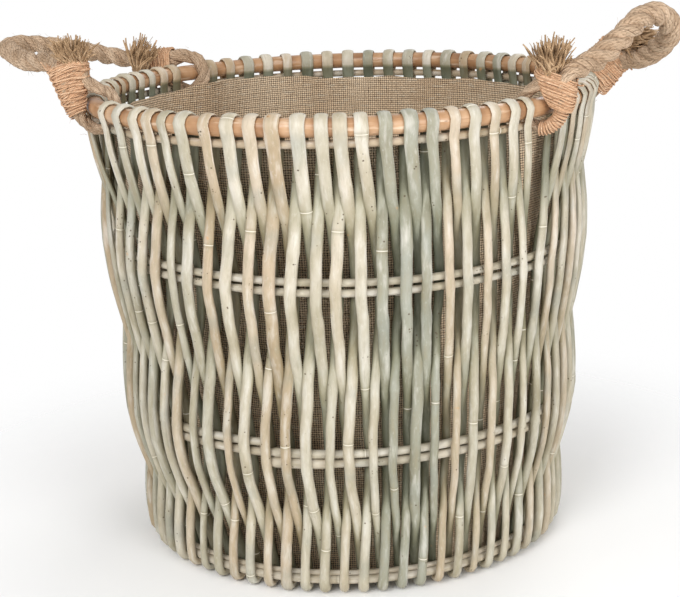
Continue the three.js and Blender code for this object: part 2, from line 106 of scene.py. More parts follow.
def add_camera():
    distance, above_rim = 1.444, 0.1906
    turn, pitch, roll = math.radians(13), math.radians(15.6), math.radians(2.0)
    picture_width, focal_length, shift_right, shift_up = 680, 1490, -7.5, 1.5
    data = bpy.data.cameras.new("camera")
    data.sensor_fit = "HORIZONTAL"
    data.sensor_width = 36
    data.lens = focal_length / picture_width * data.sensor_width
    data.shift_x = shift_right / picture_width
    data.shift_y = shift_up / picture_width
    data.clip_end = 60
    camera = add_object("camera", data)
    level = np.array([-math.sin(turn), math.cos(turn), 0])
    side = np.array([math.cos(turn), math.sin(turn), 0])
    forward = level * math.cos(pitch) - np.array([0, 0, math.sin(pitch)])
    upright = np.cross(side, forward)
    up = upright * math.cos(roll) + side * math.sin(roll)
    right = side * math.cos(roll) - upright * math.sin(roll)
    matrix = np.eye(4)
    matrix[:3, 0], matrix[:3, 1], matrix[:3, 2] = right, up, -forward
    matrix[:3, 3] = -level * distance + np.array([0, 0, RIM_Z * MM + above_rim])
    camera.matrix_world = Matrix(matrix)
    bpy.context.scene.camera = camera


add_camera()


# Hand tools

def adjust(thing, settings):
    for key, value in settings.items():
        setattr(thing, key, value)
    return thing


def set_mode(mode):
    bpy.ops.object.mode_set(mode=mode)


def clear_selection():
    if bpy.context.object and bpy.context.object.mode != "OBJECT":
        set_mode("OBJECT")
    bpy.ops.object.select_all(action="DESELECT")


def new_mesh(operator, name, **settings):
    """A basic shape, with its place worked into its points."""
    clear_selection()
    operator(**settings)
    bpy.ops.object.transform_apply()
    bpy.context.object.name = name
    return bpy.context.object


def pick(piece):
    clear_selection()
    piece.select_set(True)
    bpy.context.view_layer.objects.active = piece


def edit_all(piece):
    pick(piece)
    set_mode("EDIT")
    bpy.ops.mesh.select_all(action="SELECT")


def coordinates(piece):
    points = np.empty(len(piece.data.vertices) * 3)
    piece.data.vertices.foreach_get("co", points)
    return points.reshape(-1, 3)


def move_to(piece, points):
    piece.data.vertices.foreach_set("co", np.ascontiguousarray(points).ravel())
    piece.data.update()


def corners(piece):
    """The vertex at each corner of each face, in the order of the UV map."""
    out = np.empty(len(piece.data.loops), int)
    piece.data.loops.foreach_get("vertex_index", out)
    return out


def unrolled(piece, angles):
    """The angle at each of those corners, so that no face runs back round the piece at its seam."""
    out = angles[corners(piece)]
    for face in piece.data.polygons:
        own = list(face.loop_indices)
        if np.ptp(out[own]) > math.pi:
            out[own] += 2 * math.pi * (out[own] < 0)
    return out


def read_uv(piece):
    layer = piece.data.uv_layers[0]
    uv = np.empty(len(layer.data) * 2)
    layer.data.foreach_get("uv", uv)
    return uv.reshape(-1, 2)


def write_uv(piece, uv):
    layer = piece.data.uv_layers[0]
    layer.name = "UVMap"
    layer.data.foreach_set("uv", np.ascontiguousarray(uv).ravel())


def face_outward(piece):
    edit_all(piece)
    bpy.ops.mesh.normals_make_consistent(inside=False)
    set_mode("OBJECT")


def soften(piece):
    """Smooth shading that keeps the sharp rims."""
    pick(piece)
    bpy.ops.object.shade_smooth_by_angle(angle=math.radians(50))


def close_ends(piece):
    edit_all(piece)
    bpy.ops.mesh.fill_holes(sides=0)
    face_outward(piece)
    soften(piece)


def edit_upright_edges(piece, least):
    """Goes into edit mode with only the edges selected that rise more than that, in metres."""
    edit_all(piece)
    bpy.ops.mesh.select_mode(type="EDGE")
    bpy.ops.mesh.select_all(action="DESELECT")
    set_mode("OBJECT")
    for edge in piece.data.edges:
        a, b = (piece.data.vertices[v].co for v in edge.vertices)
        edge.select = abs(a.z - b.z) > least
    set_mode("EDIT")


def own_copy(piece):
    """A copy of a piece with its own mesh."""
    copy = piece.copy()
    copy.data = piece.data.copy()
    bpy.context.collection.objects.link(copy)
    return copy


def modify(piece, kind, **settings):
    """Adds a modifier and works it into the piece."""
    modifier = adjust(piece.modifiers.new(kind, kind), settings)
    pick(piece)
    bpy.ops.object.modifier_apply(modifier=modifier.name)


def join(pieces, name):
    clear_selection()
    for piece in pieces:
        piece.select_set(True)
    bpy.context.view_layer.objects.active = pieces[0]
    bpy.ops.object.join()
    pieces[0].name = name
    return pieces[0]


def give_shade(piece, value):
    shade = piece.data.attributes.new("shade", "FLOAT", "POINT")
    shade.data.foreach_set("value", np.full(len(piece.data.vertices), value))


def distances(points):
    """How far along a line each of its points is."""
    return np.concatenate([[0], np.cumsum(np.linalg.norm(np.diff(points, axis=0), axis=1))])


def unit(vector):
    return vector / np.linalg.norm(vector)


def directions(line):
    """Unit vectors along a line, one at each of its points."""
    along = np.gradient(line, axis=0)
    return along / np.linalg.norm(along, axis=1)[:, None]


def drawn(name, lines, sides, closed=False, change=None):
    """Round lengths drawn as one curve and made a mesh. Each line is (points, radii) in millimetres.
    The UV map runs in metres: across round the section, up along the line. A change is made before
    the ends are filled."""
    clear_selection()
    bpy.ops.curve.primitive_nurbs_path_add()
    piece = bpy.context.object
    piece.name = name
    curve = piece.data
    curve.splines.clear()
    curve.bevel_depth = 1.0
    curve.bevel_resolution = (sides - 4) // 2
    sizes = []
    for points, radii in lines:
        points = np.asarray(points, float)
        spline = curve.splines.new("POLY")
        spline.points.add(len(points) - 1)
        spline.points.foreach_set("co", np.column_stack([points * MM, np.ones(len(points))]).ravel())
        spline.points.foreach_set("radius", radii * MM)
        spline.use_cyclic_u = closed
        length = distances(points)[-1] * MM
        sizes += [(2 * math.pi * np.mean(radii) * MM, length)] * (len(points) * sides)
    bpy.ops.object.convert(target="MESH")
    write_uv(piece, read_uv(piece)[:, ::-1] * np.array(sizes)[corners(piece)])
    if change:
        change(piece)
    if not closed:
        close_ends(piece)
    return piece


def resampled(points, step, *values):
    """The same line with its points evenly spaced, and any values along it read at them."""
    points = np.asarray(points, float)
    run = distances(points)
    at = np.linspace(0, run[-1], max(3, int(round(run[-1] / step)) + 1))
    out = [np.column_stack([np.interp(at, run, points[:, k]) for k in range(3)])]
    out += [np.interp(at, run, v) for v in values]
    return out if values else out[0]


def smooth(points, steps):
    """A curve through the points, with that many steps to a span."""
    points = np.asarray(points, float)
    ends = np.vstack([2 * points[0] - points[1], points, 2 * points[-1] - points[-2]])
    out = []
    for i in range(1, len(ends) - 2):
        a, b, c, d = ends[i - 1:i + 3]
        for t in np.arange(steps) / steps:
            out.append(0.5 * (2 * b + (c - a) * t + (2 * a - 5 * b + 4 * c - d) * t ** 2
                              + (3 * b - a - 3 * c + d) * t ** 3))
    out.append(points[-1])
    return np.array(out)


def wander(rng, run, amplitude, wavelengths):
    """A gentle random wave along a length."""
    total = np.zeros(len(run))
    for wavelength in wavelengths:
        total += np.sin(2 * math.pi * run / wavelength + rng.uniform(0, 2 * math.pi)) * rng.uniform(0.5, 1)
    return amplitude * total / len(wavelengths)


def round_point(radius, z, azimuth):
    return np.column_stack([radius * np.cos(np.radians(azimuth)), radius * np.sin(np.radians(azimuth)), z])


# Finishes

def linear(red, green, blue):
    out = [((c / 255 + 0.055) / 1.055) ** 2.4 if c > 10 else c / 255 / 12.92 for c in (red, green, blue)]
    return (*out, 1)


class Nodes:
    """Short ways to add and join nodes."""

    def __init__(self, tree):
        self.tree = tree

    def add(self, kind, inputs=(), **settings):
        node = adjust(self.tree.nodes.new(kind), settings)
        for key, value in dict(inputs).items():
            self.put(value, node.inputs[key])
        return node

    def put(self, value, socket):
        """Links a socket to another, or sets it to a number or to a screen colour."""
        if isinstance(value, bpy.types.NodeSocket):
            self.tree.links.new(value, socket)
        else:
            socket.default_value = linear(*value) if isinstance(value, tuple) else value

    def sums(self, operation, *values):
        return self.add("ShaderNodeMath", enumerate(values), operation=operation).outputs[0]

    def times(self, first, second):
        return self.sums("MULTIPLY", first, second)

    def plus(self, first, second):
        return self.sums("ADD", first, second)

    def vector(self, x, y, z):
        return self.add("ShaderNodeCombineXYZ", {0: x, 1: y, 2: z}).outputs[0]

    def noise(self, place, scale, detail=3.0, roughness=0.5):
        place = self.vector(*place)
        inputs = {"Vector": place, "Scale": scale, "Detail": detail, "Roughness": roughness}
        return self.add("ShaderNodeTexNoise", inputs).outputs[0]

    def cells(self, place, scale):
        """Distance from the nearest of many scattered points."""
        node = self.add("ShaderNodeTexVoronoi", {"Vector": self.vector(*place), "Scale": scale})
        return node.outputs["Distance"]

    def ramp(self, value, *stops):
        node = self.add("ShaderNodeValToRGB", {0: value})
        marks = node.color_ramp.elements
        while len(marks) < len(stops):
            marks.new(0.5)
        for mark, (place, colour) in zip(marks, stops):
            mark.position = place
            mark.color = linear(*colour)
        return node.outputs[0]

    def between(self, value, low, high):
        """0 below low, 1 above high, smooth in between; turned over where low is above high."""
        turned = low > high
        inputs = enumerate([value, min(low, high), max(low, high), float(turned), 1.0 - turned])
        return self.add("ShaderNodeMapRange", inputs, interpolation_type="SMOOTHSTEP").outputs[0]

    def mix(self, factor, first, second, mode="MIX"):
        node = self.add("ShaderNodeMix", {0: factor, 6: first, 7: second}, data_type="RGBA", blend_type=mode)
        return node.outputs[2]


class Finish(Nodes):
    """A material that is laid out on the piece's own UV map."""

    def __init__(self, name, roughness, slot=None):
        self.material = bpy.data.materials.new(name)
        self.material.use_nodes = True
        super().__init__(self.material.node_tree)
        self.shader = self.tree.nodes["Principled BSDF"]
        self.shader.inputs["Roughness"].default_value = roughness
        self.slot = slot

    def tint(self, mask, amount, other):
        """Lays a share of another colour over the colour so far, where the mask is 1."""
        self.base = self.mix(self.times(mask, amount), self.base, other)

    def colour(self, value):
        self.put(value, self.shader.inputs["Base Color"])

    def bump(self, height, strength, depth):
        node = self.add("ShaderNodeBump", {"Strength": strength, "Distance": depth, "Height": height})
        self.put(node.outputs[0], self.shader.inputs["Normal"])

    def map_along(self):
        """(across the section, along the length) of the piece's own UV map, in metres."""
        uv = self.add("ShaderNodeUVMap", uv_map="UVMap")
        return self.add("ShaderNodeSeparateXYZ", {0: uv.outputs[0]}).outputs[:2]

    def attribute(self, name):
        return self.add("ShaderNodeAttribute", attribute_name=name, attribute_type="GEOMETRY").outputs["Fac"]


def willow_finish():
    f = Finish("weathered_willow", 0.5, "willow")
    across, along = f.map_along()
    shade = f.attribute("shade")
    painted_light = f.attribute("painted_light")
    lot = f.times(shade, 7.3)
    even_way = (across, along, lot)
    grain = f.noise((across, f.times(along, 0.14), lot), 520.0, 4.0, 0.6)
    patches = f.noise((f.times(across, 0.7), f.times(along, 0.35), lot), 42.0, 4.0, 0.6)
    clouds = f.noise((across, f.times(along, 0.22), f.plus(lot, 11.0)), 150.0, 3.0, 0.55)
    mottle = f.noise((across, f.times(along, 0.4), lot), 420.0, 4.0, 0.7)
    grey = f.noise((f.times(across, 0.6), f.plus(along, 3.7), lot), 17.0, 3.0)
    f.base = f.ramp(
        patches, (0.30, (176, 166, 144)), (0.43, (196, 187, 167)), (0.56, (206, 199, 183)),
        (0.70, (216, 211, 200)))
    tone = f.ramp(
        shade, (0.0, (190, 198, 194)), (0.3, (232, 232, 226)), (0.6, (255, 253, 249)),
        (0.85, (244, 230, 216)), (1.0, (228, 206, 180)))
    f.base = f.mix(1.0, f.base, tone, "MULTIPLY")
    f.tint(f.between(clouds, 0.48, 0.72), 0.45, (236, 232, 224))
    f.tint(f.between(clouds, 0.48, 0.28), 0.45, (160, 150, 122))
    f.tint(f.between(grey, 0.54, 0.70), 0.45, (152, 156, 146))
    f.tint(f.between(grain, 0.55, 0.70), 0.22, (140, 130, 102))
    f.tint(f.between(mottle, 0.54, 0.74), 0.22, (244, 242, 236))
    # Painted shade: the willow is multiplied darker on the side facing into the basket and on the lower wall
    painted_wall_shade = f.ramp(painted_light, (0.0, (150, 158, 146)), (0.42, (206, 208, 195)), (0.75, (255, 255, 255)))
    f.base = f.mix(1.0, f.base, painted_wall_shade, "MULTIPLY")
    chosen = f.between(f.noise(even_way, 62.0, 1.0), 0.64, 0.67)
    dots = f.times(f.between(f.cells(even_way, 260.0), 0.26, 0.14), chosen)
    f.tint(dots, 0.9, (86, 70, 46))
    stains = f.between(f.noise((across, along, f.plus(lot, 41.0)), 58.0, 2.0), 0.74, 0.80)
    f.tint(stains, 0.6, (210, 156, 96))
    joint = f.add("ShaderNodeTexVoronoi", {
        "W": f.plus(f.times(along, 3.1), f.times(shade, 53.0)), "Scale": 1.0},
        voronoi_dimensions="1D", feature="DISTANCE_TO_EDGE").outputs["Distance"]
    rings = f.between(joint, 0.0017, 0.0009)
    f.tint(f.between(joint, 0.012, 0.002), 0.35, (140, 130, 100))
    f.tint(rings, 0.75, (246, 240, 224))
    f.colour(f.base)
    height = f.plus(f.times(grain, 0.4), f.times(mottle, 0.5))
    height = f.plus(height, f.times(rings, 0.8))
    f.bump(f.sums("SUBTRACT", height, dots), 0.45, 0.0005)
    return f


def tan_finish():
    f = Finish("peeled_tan_cane", 0.30, "tan_willow")
    across, along = f.map_along()
    grain = f.noise((across, f.times(along, 0.03), 0.0), 800.0, 4.0, 0.6)
    patches = f.noise((across, along, 0.0), 30.0, 3.0)
    f.base = f.ramp(patches, (0.32, (150, 108, 74)), (0.5, (184, 142, 104)), (0.68, (208, 172, 137)))
    f.tint(f.between(grain, 0.55, 0.70), 0.4, (150, 102, 64))
    pale = f.noise((across, f.times(along, 0.15), 5.0), 160.0, 3.0)
    f.tint(f.between(pale, 0.56, 0.70), 0.55, (246, 224, 198))
    nick = f.between(f.cells((across, f.times(along, 0.3), 0.0), 120.0), 0.10, 0.05)
    f.tint(nick, 0.6, (104, 68, 42))
    f.colour(f.base)
    f.bump(f.sums("SUBTRACT", grain, nick), 0.35, 0.0004)
    return f


def woven(f, across, along, pitch, slack):
    """Height of a plain weave, and 1 where the thread on top runs upwards."""
    places = [(across, f.times(along, 0.12), 0.0), (f.times(across, 0.12), along, 9.0)]
    threads = [f.plus(f.sums("DIVIDE", way, pitch), f.times(f.noise(place, 420.0, 2.0), slack))
               for way, place in zip((across, along), places)]
    over = f.sums("MODULO", f.sums("ABSOLUTE", f.plus(*[f.sums("FLOOR", v) for v in threads])), 2.0)
    bow_x, bow_y = [f.sums("SINE", f.times(f.sums("FRACT", v), math.pi)) for v in threads]
    upright = f.times(f.sums("POWER", bow_x, 0.7), f.plus(f.times(bow_y, 0.55), 0.45))
    level = f.times(f.sums("POWER", bow_y, 0.7), f.plus(f.times(bow_x, 0.55), 0.45))
    return f.plus(f.times(upright, over), f.times(level, f.sums("SUBTRACT", 1.0, over))), over


def sackcloth_finish():
    f = Finish("sackcloth", 0.95, "sackcloth")
    across, along = f.map_along()
    height, over = woven(f, across, along, 0.0022, 0.7)
    slubs = f.noise((f.times(across, 0.25), along, 2.0), 330.0, 3.0)
    patches = f.noise((across, along, 0.0), 16.0, 3.0)
    f.base = f.ramp(patches, (0.35, (222, 194, 160)), (0.65, (240, 216, 184)))
    f.tint(f.between(slubs, 0.52, 0.66), 0.7, (236, 220, 194))
    f.tint(over, 0.18, (170, 142, 112))
    # Painted shade between the threads: the low parts of the weave take a deep brown (74, 52, 34)
    f.colour(f.mix(f.between(height, 0.20, 0.66), (74, 52, 34), f.base))
    f.bump(height, 0.9, 0.0011)
    return f


def fibre_finish(name, slot, low, middle, high, dark_fibres_and_groove_shade, tilt, scale, yarn=0.0):
    """Loose jute fibres: fine uneven lines that run at a slant to the length."""
    f = Finish(name, 0.92, slot)
    across, along = f.map_along()
    shade = f.attribute("shade")
    slant = f.plus(across, f.times(along, tilt))
    lines = (slant, f.times(along, 0.10), f.times(shade, 5.0))
    fine = f.noise(lines, scale, 4.0, 0.6)
    coarse = f.noise(lines, scale * 0.33, 2.0)
    patches = f.noise((across, along, shade), 55.0, 2.0)
    uneven = f.plus(f.times(fine, 0.65), f.times(patches, 0.35))
    f.base = f.ramp(uneven, (0.36, low), (0.50, middle), (0.64, high))
    f.tint(f.between(coarse, 0.44, 0.30), 0.7, dark_fibres_and_groove_shade)
    if yarn:
        turn = f.times(f.plus(across, f.times(along, 0.75)), 2 * math.pi / yarn)
        twist = f.times(f.plus(f.sums("SINE", f.plus(turn, f.times(coarse, 9.0))), 1.0), 0.5)
        broken = f.between(f.noise((across, along, f.plus(shade, 7.0)), 240.0, 2.0), 0.36, 0.62)
        # Painted shade in the grooves between the yarns, broken up by noise
        f.tint(f.between(twist, 0.40, 0.05), f.times(broken, 0.6), dark_fibres_and_groove_shade)
        fine = f.plus(fine, f.times(twist, 1.2))
    f.colour(f.base)
    f.bump(f.plus(f.times(coarse, 0.8), f.times(fine, 0.5)), 0.8, 0.0011)
    return f


WILLOW = willow_finish()
TAN = tan_finish()
SACKCLOTH = sackcloth_finish()
ROPE = fibre_finish(
    "jute_rope", "rope", (158, 130, 102), (196, 167, 138), (226, 202, 175), (104, 78, 54),
    -0.55, 1300.0, yarn=0.0031)
TWINE = fibre_finish(
    "jute_twine", "twine", (176, 134, 100), (209, 167, 131), (232, 200, 168), (126, 90, 60), 0.9, 1500.0)
FRAY = fibre_finish(
    "frayed_jute", "rope", (134, 106, 76), (180, 148, 112), (216, 188, 154), (84, 62, 40), 0.3, 1400.0)


def wall_radius(z):
    """Radius of the middle of the wall at a height."""
    return np.interp(z, [FOOT_Z, LOW_Z, MID_Z, RIM_Z], [FOOT_RADIUS, LOW_RADIUS, MID_RADIUS, RIM_RADIUS])


def paint_wall_shade(piece):
    """Painted shade for the willow: 0 on the side of the wall that faces into the basket, which is painted
    darker, and 1 on its outer side. Lower down the highest value falls, so the lower wall is painted darker
    as well.
    """
    x, y, z = coordinates(piece).T / MM
    out = np.hypot(x, y) - wall_radius(z)
    out = np.where(z > RIM_Z - 2, 12.0, out)
    out = np.where(z < FOOT_Z + 2, 6.0, out)
    # Painted shade by height: the value is held under 0.66 below 270 mm, rising to 1 at 380 mm
    light_cap = 0.66 + 0.34 * np.clip((z - 270) / 110, 0, 1)
    if "wire" in piece.name:
        out[:] = 10.0
        light_cap[:] = 1.0
    layer = piece.data.attributes.new("painted_light", "FLOAT", "POINT")
    layer.data.foreach_set("value", np.clip((out + 8) / 20, 0, light_cap))


def dress(piece, finish, *nodes, body="basket", shade=None):
    piece.data.materials.append(finish.material)
    if shade is not None:
        give_shade(piece, shade)
    # Willow gets its painted wall shade
    if finish is WILLOW:
        paint_wall_shade(piece)
    if nodes:
        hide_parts(*nodes)
    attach(piece, body)


# Willow rods: a few hairpins are modelled, then copied round the hoops

HOOP_LEVELS = [FOOT_Z, LOW_Z, MID_Z, RIM_Z - UNDER_DROP]
ROD_SIDES = 12
ROD_MODELS = 8
ROD_LENGTH = 950      # about, in millimetres


def leg(rng, offsets, azimuths):
    """One leg from the foot hoop to the under-rim hoop: offsets from the wall, and azimuths in half
    pitches, at each hoop."""
    z = np.linspace(FOOT_Z, RIM_Z - UNDER_DROP, 62)
    radius = wall_radius(z)
    azimuth = np.zeros(len(z))
    for low, high, here, there, first, last in zip(
            HOOP_LEVELS, HOOP_LEVELS[1:], offsets, offsets[1:], azimuths, azimuths[1:]):
        inside = (z >= low) & (z <= high)
        share = (z[inside] - low) / (high - low)
        eased = (1 - np.cos(math.pi * share)) / 2
        radius[inside] = wall_radius(z[inside]) + here + (there - here) * eased
        azimuth[inside] = BASE_PITCH / 2 * (first + (last - first) * (0.9 * share + 0.1 * eased))
    azimuth = np.convolve(np.pad(azimuth, 3, mode="reflect", reflect_type="odd"), np.full(7, 1 / 7), "valid")
    ends = np.clip((z - 25) / 60, 0, 1) * np.clip((RIM_Z - 22 - z) / 60, 0, 1)
    azimuth += np.degrees(wander(rng, z, 1.5, (230, 131, 66, 41)) * ends / radius)
    radius += wander(rng, z, 0.3, (120, 70)) * ends
    return round_point(radius, z, azimuth)


def hairpin(number):
    """A rod on its own way up, over the top hoop and down, at azimuth 0."""
    rng = np.random.default_rng(100 + number)
    up = leg(rng, [FOOT_OFFSET, -LOW_OFFSET, MID_OFFSET, -UNDER_OFFSET], [-1, 0, -1, 0])
    down = leg(rng, [-FOOT_OFFSET, LOW_OFFSET, -MID_OFFSET, UNDER_OFFSET], [1, 0, 1, 0])[::-1]
    turn = np.radians(np.linspace(188, 345, 9))
    wrap = np.column_stack([FOOT_RADIUS + FOOT_OFFSET * np.cos(turn), FOOT_Z + FOOT_OFFSET * np.sin(turn)])
    wrap = np.vstack([[FOOT_RADIUS - FOOT_OFFSET, FOOT_Z + 2.5], wrap])
    wrap = round_point(wrap[:, 0], wrap[:, 1], -BASE_PITCH / 2)
    turn = np.radians(np.linspace(172, 8, 14))
    fold = round_point(RIM_RADIUS + FOLD_RADIUS * np.cos(turn), RIM_Z + FOLD_RADIUS * np.sin(turn), 0.0)
    line = resampled(np.vstack([wrap, up, fold, down]), 5.2)
    run = np.linspace(0, 1, len(line))
    thin = rng.uniform(0.03, 0.10) * (1 if number % 2 else -1)
    radii = 4.2 + 0.45 * np.clip((line[:, 2] - 90) / 200, 0, 1)
    radii = radii * (1 + thin * (run - 0.5) * 2) * rng.uniform(0.90, 1.10)
    radii = radii + wander(rng, run * ROD_LENGTH, 0.2, (260, 75, 33))
    for knuckle in rng.uniform(0.04, 0.96, 7):
        radii += 0.35 * np.exp(-((run - knuckle) * ROD_LENGTH / 4.5) ** 2)
    return drawn(f"hairpin_{number}", [(line, radii)], ROD_SIDES, change=flatten)


def flatten(piece):
    """Squashes a rod against the hoops: more and more towards the rim, and at its fold and its foot."""
    rings = coordinates(piece).reshape(-1, ROD_SIDES, 3)
    middle = rings.mean(axis=1, keepdims=True)
    away = rings - middle
    aside = np.array([0.0, 1.0, 0.0])
    z = middle[..., 2:] / MM
    flat = np.clip((z - 120) / 290, 0, 1)
    fold = np.clip((z - 412) / 14, 0, 1)
    foot = np.clip((26 - z) / 14, 0, 1)
    sideways = (away @ aside)[..., None] * aside
    rings = (middle + sideways * (1 + 0.14 * flat + 0.10 * fold + 0.10 * foot)
             + (away - sideways) * (1 - 0.42 * flat - 0.20 * fold - 0.12 * foot))
    move_to(piece, rings.reshape(-1, 3))


def place_rod(piece, index, top, lean):
    """Turns a copied rod round to its place, and leans it from its place on the base to that on the
    rim. Towards the left front about half of the rods also bend aside at the middle hoops."""
    points = coordinates(piece)
    x, y, z = points.reshape(-1, ROD_SIDES, 3).mean(axis=1).T
    z = z / MM
    centre = np.degrees(np.arctan2(y, x))
    rise = np.clip((z - MID_Z) / (RIM_Z - UNDER_DROP - MID_Z), 0, 1)
    below = base_azimuth(index + centre / BASE_PITCH)
    away = (top - base_azimuth(index) + 180) % 360 - 180
    sway = lean * np.sin(math.pi * np.clip((z - 30) / 380, 0, 1)) ** 2
    left_front = np.cos(np.radians(top - 225))
    if y.mean() < 0 and left_front > 0:
        sway = sway + 1.9 * np.exp(-((z - MID_Z) / 85) ** 2) * left_front
    turn = np.radians(np.repeat(below + away * rise + sway - centre, ROD_SIDES))
    x, y, z = points.T
    c, s = np.cos(turn), np.sin(turn)
    move_to(piece, np.column_stack([x * c - y * s, x * s + y * c, z]))


def add_rods():
    models = [hairpin(n) for n in range(ROD_MODELS)]
    rng = np.random.default_rng(7)
    copies = []
    previous = -1
    for i, top in enumerate(TOP_AZIMUTHS):
        choice = rng.integers(ROD_MODELS - 1)
        choice = choice + 1 if choice >= previous >= 0 else choice
        previous = choice
        piece = own_copy(models[choice])
        place_rod(piece, i, top, rng.uniform(-0.45, 0.45))
        edit_all(piece)
        bpy.ops.transform.shrink_fatten(value=rng.uniform(-0.0006, 0.0006))
        set_mode("OBJECT")
        write_uv(piece, read_uv(piece) + [0, rng.uniform(0, 40)])
        give_shade(piece, rng.uniform(0, 1))
        copies.append(piece)
    for model in models:
        bpy.data.objects.remove(model)
    for pair in range(1, SEGMENTS // 2 + 1):
        piece = join(copies[2 * pair - 2:2 * pair], f"rods_{pair:02d}")
        dress(piece, WILLOW, f"willow_pair_{pair:02d}")


# Hoops

def hoop_line(radius, z, azimuth, rng, sway, raised=0.0):
    """A hoop or a part of one, a little uneven, in millimetres."""
    run = np.radians(azimuth) * radius
    whole = 2 * math.pi * radius
    wave = wander(rng, run, sway, (whole / 2, whole / 5, whole / 9))
    lift = wander(rng, run, sway, (whole / 3, whole / 7)) + raised
    return round_point(radius + wave, z + lift, azimuth)


def add_top_cane():
    top = new_mesh(
        bpy.ops.mesh.primitive_torus_add, "top_cane", major_segments=320, minor_segments=20,
        major_radius=RIM_RADIUS * MM, minor_radius=RIM_WIRE * MM, location=(0, 0, RIM_Z * MM))
    write_uv(top, read_uv(top)[:, ::-1] * [2 * math.pi * RIM_WIRE * MM, 2 * math.pi * RIM_RADIUS * MM])
    uneven = bpy.data.textures.new("uneven_cane", "CLOUDS")
    uneven.noise_scale = 0.035
    modify(top, "DISPLACE", texture=uneven, texture_coords="GLOBAL", strength=0.0009, mid_level=0.5)
    bpy.ops.object.shade_smooth()
    dress(top, TAN, "top_hoop", shade=0.5)


def add_wires(rng):
    """The thin hoops between the rods. They are not quite level: the middle ones rise at the left front,
    and each low one rises from its thick end all the way round to its thin end."""
    count = 240
    level = np.linspace(0, 360, count, endpoint=False)
    joined = np.linspace(LOW_JOIN + 0.5, LOW_JOIN + 359.5, count)
    hump = 5.0 * np.exp(-((level - 238) / 32) ** 2)
    climb = 9.0 * np.exp((joined - joined[-1]) / 120)
    wires = [
        ("mid_hoop_upper", MID_RADIUS + 0.4, MID_Z + MID_SPACING + 0.2, 3.5, 0.0, 0.55),
        ("mid_hoop_lower", MID_RADIUS - 0.4, MID_Z - MID_SPACING - 0.2, 3.5, 0.0, 0.6),
        ("low_hoop_upper", LOW_RADIUS + 0.4, LOW_Z + LOW_SPACING, 3.8, 0.5, 0.5),
        ("low_hoop_lower", LOW_RADIUS - 0.4, LOW_Z - LOW_SPACING, 3.8, 1.7, 0.65),
        ("foot_hoop_main", FOOT_RADIUS, FOOT_Z, 4.1, 0.0, 0.66),
        ("foot_hoop_thin", FOOT_RADIUS, FOOT_THIN_Z, 2.4, 0.0, 0.7),
    ]
    for node, radius, z, thick, thick_end, shade in wires:
        low = node.startswith("low")
        raised = climb if low else hump if node.startswith("mid") else 0.0
        line = hoop_line(radius, z, joined if low else level, rng, 0.3, raised)
        whole = 2 * math.pi * radius
        run = np.arange(count) * whole / count
        radii = thick + wander(rng, run, 0.2, (whole / 4, whole / 17))
        if low:
            radii[:12] += thick_end * np.linspace(1, 0, 12) ** 0.6
            radii[[0, -1]] *= 0.75
        piece = drawn(node.replace("hoop", "wire"), [(line, radii)], 12, closed=not low)
        bpy.ops.object.shade_smooth()
        dress(piece, WILLOW, node, shade=shade)


def add_under_wires(rng):
    """The hoop under the rim, in four lengths that stop short of the rope eyes."""
    lengths = [("right", RIGHT_FRONT_EYE + 3.97, 15 - 3.97), ("back", 15 + 3.64, 147 - 4.04),
               ("left", 147 + 4.67, 213 - 4.67), ("front", 213 + 4.04, 360 + RIGHT_FRONT_EYE - 3.64)]
    for name, start, end in lengths:
        count = int((end - start) * 0.8)
        line = hoop_line(RIM_RADIUS, RIM_Z - UNDER_DROP, np.linspace(start, end, count), rng, 0.12)
        radii = np.full(count, 3.6)
        radii[[0, -1]] = 2.9
        piece = drawn(f"under_wire_{name}", [(line, radii)], 12)
        dress(piece, WILLOW, f"under_rim_{name}", shade=0.9)


def add_hoops():
    rng = np.random.default_rng(21)
    add_top_cane()
    add_wires(rng)
    add_under_wires(rng)


# Base: stakes laid across, and weavers that go over and under them

def add_base():
    rng = np.random.default_rng(31)
    middle_z, reach = 6.0, 187.0
    lines = []
    for k in range(8):
        line = resampled([[-reach, 0, middle_z], [reach, 0, middle_z]], 12)
        c, s = circle(k * 22.5 + 4)
        line = line @ np.array([[c, s, 0], [-s, c, 0], [0, 0, 1]])
        near = np.linalg.norm(line[:, :2], axis=1)
        line[:, 2] = middle_z + (k - 3.5) * 0.5 * np.exp(-(near / 26) ** 2)
        lines.append((line, np.full(len(line), 2.7)))
    stakes = drawn("base_stakes", lines, 8)
    give_shade(stakes, 0.3)
    rings = []
    azimuth = np.linspace(0, 360, 128, endpoint=False)
    for k in range(31):
        z = middle_z + 3.1 * np.cos(np.radians(8 * (azimuth - 4) + 180 * k))
        radius = 22.0 + 5.3 * k + wander(rng, azimuth, 0.2, (180, 120))
        rings.append((round_point(radius, z, azimuth), np.full(128, 2.75)))
    weavers = drawn("base_weavers", rings, 8, closed=True)
    bpy.ops.object.shade_smooth()
    give_shade(weavers, 0.55)
    base = join([weavers, stakes], "willow_base")
    dress(base, WILLOW, "woven_base")


# Liner: sackcloth, cut as a band and a round and sewn into a cup

LINER_LEVELS = [(12.5, 187.0), (LOW_Z, 201.6), (MID_Z, 213.0), (385.0, 220.8), (417.0, 223.6)]
LINER_BOTTOM, LINER_TOP = 12.8, 416.6
CLOTH_RADIUS = 0.207    # in metres, about the middle of the wall, for the width of the threads
EYES_ABOUT = [147.0 - 2, 213.0 + 2, RIGHT_FRONT_EYE - 2, 15.0 + 2]


def beside_eyes(azimuth):
    """1 at the rope eyes, which push the cloth in and down, fading to 0 beside them."""
    swell = np.zeros(np.shape(azimuth))
    for centre in EYES_ABOUT:
        apart = (azimuth - centre + 540) % 360 - 180
        swell = np.maximum(swell, np.exp(-(apart / 8) ** 2))
    return swell


